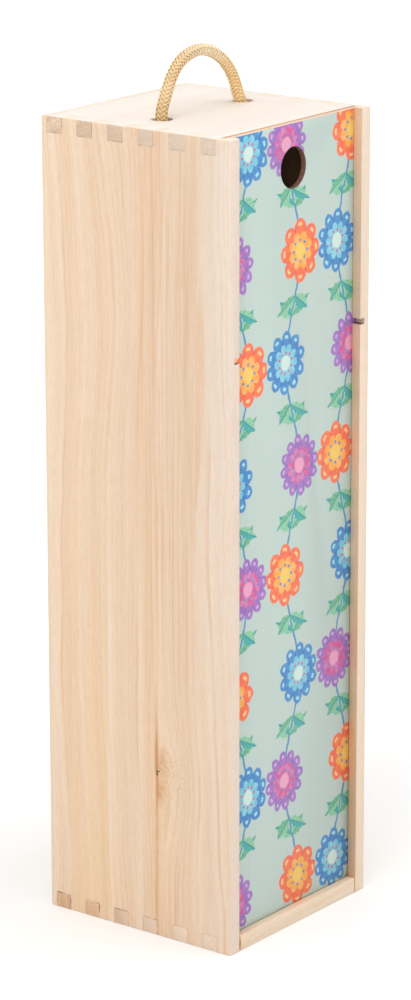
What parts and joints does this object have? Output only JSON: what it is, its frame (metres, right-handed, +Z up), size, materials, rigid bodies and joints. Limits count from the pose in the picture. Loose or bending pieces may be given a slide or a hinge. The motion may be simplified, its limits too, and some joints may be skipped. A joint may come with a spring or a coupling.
{
  "type": "wooden wine box",
  "caption": "Upright finger-jointed wooden box for one wine bottle, with a sliding printed front panel and a knotted rope handle.",
  "frame": {"origin": "middle of the box's foot, on the surface that it stands on", "axes": "+Z up, -Y out of the face with the sliding panel, +X to the right of someone who faces that panel"},
  "size_m": [0.098, 0.098, 0.3782],
  "materials": {
    "pale_wood": "sanded and unvarnished",
    "thin_ply": "sanded and unvarnished",
    "printed_ply": "matt printed front",
    "braided_cord": "braided"
  },
  "bodies": {
    "box": {"side_left": "pale_wood", "side_right": "pale_wood", "top_board": "pale_wood", "bottom_board": "pale_wood", "back_panel": "thin_ply", "neck_rest": "thin_ply", "rope_tail_left": "braided_cord", "rope_tail_right": "braided_cord", "rope_knot_left": "braided_cord", "rope_knot_right": "braided_cord"},
    "panel": {"front_panel": "printed_ply"},
    "handle": {"handle_rope": "braided_cord"}
  },
  "joints": [
    {"name": "front_panel_slide", "type": "slide", "parent": "box", "child": "panel", "axis": [0, 0, 1], "range_m": [0, 0.33]},
    {"name": "handle_tilt", "type": "hinge", "parent": "box", "child": "handle", "pos_m": [0, 0.002, 0.3533], "axis": [1, 0, 0], "range_deg": [-75, 75], "stiffness_Nm_per_rad": 0.02}
  ]
}
